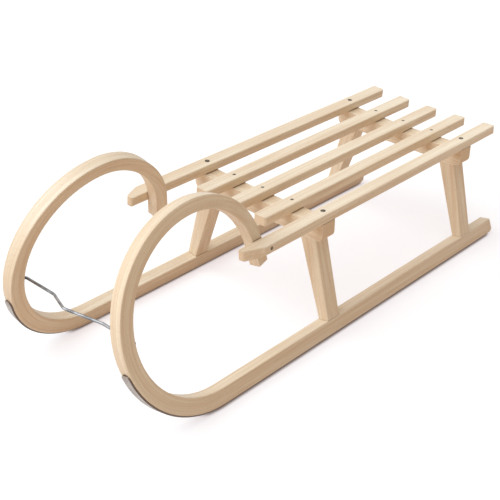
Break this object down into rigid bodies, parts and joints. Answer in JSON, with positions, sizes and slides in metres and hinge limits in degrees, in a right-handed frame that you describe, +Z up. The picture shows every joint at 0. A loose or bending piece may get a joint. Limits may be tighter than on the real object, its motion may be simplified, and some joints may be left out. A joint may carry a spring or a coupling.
{
  "type": "wooden sled",
  "caption": "Wooden sled with bent runners that curl up and back into horns, a slatted seat on splayed legs, steel soles and a bent tie rod for a tow line.",
  "frame": {"origin": "on the floor, under the middle of the sled's length and width", "axes": "+X forward to the horns, +Y to the rider's left, +Z up"},
  "size_m": [1, 0.3716, 0.356],
  "materials": {
    "beech": "satin",
    "steel": "brushed"
  },
  "bodies": {
    "root": {"runner_left": "beech", "runner_right": "beech", "leg_front_left": "beech", "leg_front_right": "beech", "leg_rear_left": "beech", "leg_rear_right": "beech", "bolster_front": "beech", "bolster_rear": "beech", "slat_left_outer": "beech", "slat_left_inner": "beech", "slat_middle": "beech", "slat_right_inner": "beech", "slat_right_outer": "beech", "sole_left": "steel", "sole_right": "steel", "tie_rod": "steel"}
  },
  "joints": []
}
